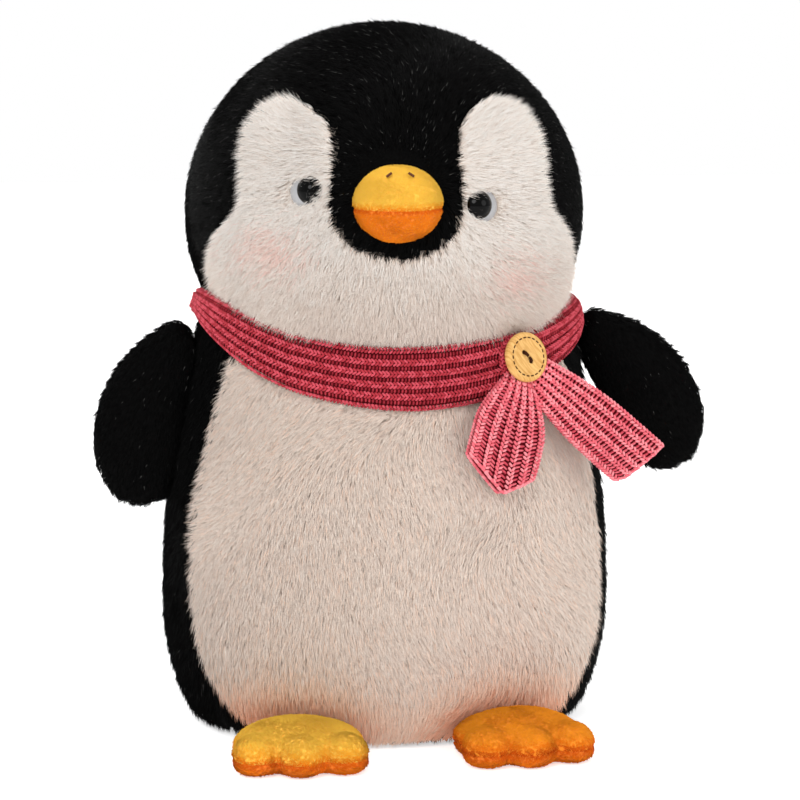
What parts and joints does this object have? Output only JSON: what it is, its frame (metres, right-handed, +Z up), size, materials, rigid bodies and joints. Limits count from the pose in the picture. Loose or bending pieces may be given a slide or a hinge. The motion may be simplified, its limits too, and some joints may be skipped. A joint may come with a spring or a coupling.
{
  "type": "plush penguin",
  "caption": "Standing plush penguin with a fluffy round body, a head that turns, hanging flippers, stuffed feet, a beak and a knitted scarf held by a wooden button.",
  "frame": {"origin": "on the floor under the middle of the torso", "axes": "+Z up, -Y the way the torso, belly and feet face, +X towards the penguin's left flipper"},
  "size_m": [0.3067, 0.2208, 0.345],
  "materials": {
    "black_plush": "long pile",
    "white_plush": "long pile",
    "yellow_plush": "short pile",
    "orange_plush": "short pile",
    "stuffing": "polyester fibre",
    "knit": "knitted",
    "eye_white": "gloss",
    "eye_black": "high gloss",
    "washer": "moulded",
    "button_wood": "satin",
    "thread": "cotton thread"
  },
  "bodies": {
    "torso": {"belly_panel": "white_plush", "left_back_panel": "black_plush", "right_back_panel": "black_plush", "base_panel": "black_plush", "torso_filling": "stuffing", "scarf_band": "knit", "scarf_knot": "knit"},
    "neck": {"neck_wad": "stuffing"},
    "head": {"head_base_disc": "black_plush", "face_panel": "white_plush", "hood_gusset": "black_plush", "hood_left_panel": "black_plush", "hood_right_panel": "black_plush", "head_filling": "stuffing", "left_eye_white": "eye_white", "left_eye_pupil": "eye_black", "left_eye_washer": "washer", "right_eye_white": "eye_white", "right_eye_pupil": "eye_black", "right_eye_washer": "washer", "beak_upper": "yellow_plush", "beak_lower": "orange_plush", "beak_filling": "stuffing", "nostril_stitches": "thread"},
    "right_flipper": {"right_flipper_front": "black_plush", "right_flipper_back": "black_plush", "right_flipper_filling": "stuffing"},
    "left_flipper": {"left_flipper_front": "black_plush", "left_flipper_back": "black_plush", "left_flipper_filling": "stuffing"},
    "right_foot": {"right_foot_upper": "yellow_plush", "right_foot_sole": "orange_plush", "right_foot_filling": "stuffing"},
    "left_foot": {"left_foot_upper": "yellow_plush", "left_foot_sole": "orange_plush", "left_foot_filling": "stuffing"},
    "button": {"scarf_button": "button_wood", "button_thread": "thread"},
    "left_tail": {"left_scarf_tail": "knit"},
    "right_tail": {"right_scarf_tail": "knit"}
  },
  "joints": [
    {"name": "head_turn", "type": "hinge", "parent": "torso", "child": "neck", "pos_m": [0, 0, 0.2535], "axis": [0, 0, 1], "range_deg": [-30, 40], "stiffness_Nm_per_rad": 2},
    {"name": "head_nod", "type": "hinge", "parent": "neck", "child": "head", "pos_m": [0, 0, 0.2535], "axis": [0.9962, -0.0872, 0], "range_deg": [-10, 12], "stiffness_Nm_per_rad": 3},
    {"name": "right_flipper_lift", "type": "hinge", "parent": "torso", "child": "right_flipper", "pos_m": [-0.0985, -0.008, 0.197], "axis": [0, 1, 0], "range_deg": [0, 45], "stiffness_Nm_per_rad": 0.3},
    {"name": "left_flipper_lift", "type": "hinge", "parent": "torso", "child": "left_flipper", "pos_m": [0.0985, -0.008, 0.197], "axis": [0, -1, 0], "range_deg": [-18, 27], "stiffness_Nm_per_rad": 0.3},
    {"name": "right_foot_flex", "type": "hinge", "parent": "torso", "child": "right_foot", "pos_m": [-0.055, -0.071, 0.001], "axis": [-1, 0, 0], "range_deg": [0, 12], "stiffness_Nm_per_rad": 0.4},
    {"name": "left_foot_flex", "type": "hinge", "parent": "torso", "child": "left_foot", "pos_m": [0.048, -0.071, 0.001], "axis": [-1, 0, 0], "range_deg": [0, 12], "stiffness_Nm_per_rad": 0.4},
    {"name": "button_twist", "type": "hinge", "parent": "torso", "child": "button", "pos_m": [0.05459, -0.08394, 0.18991], "axis": [0.4409, -0.8731, 0.2079], "range_deg": [-25, 25], "stiffness_Nm_per_rad": 0.01},
    {"name": "left_tail_lift", "type": "hinge", "parent": "torso", "child": "left_tail", "pos_m": [0.06273, -0.08123, 0.17979], "axis": [-0.6588, -0.1783, -0.7309], "range_deg": [0, 48], "stiffness_Nm_per_rad": 0.03},
    {"name": "right_tail_lift", "type": "hinge", "parent": "torso", "child": "right_tail", "pos_m": [0.05129, -0.0857, 0.17643], "axis": [-0.8952, -0.3641, 0.2569], "range_deg": [0, 48], "stiffness_Nm_per_rad": 0.03}
  ]
}
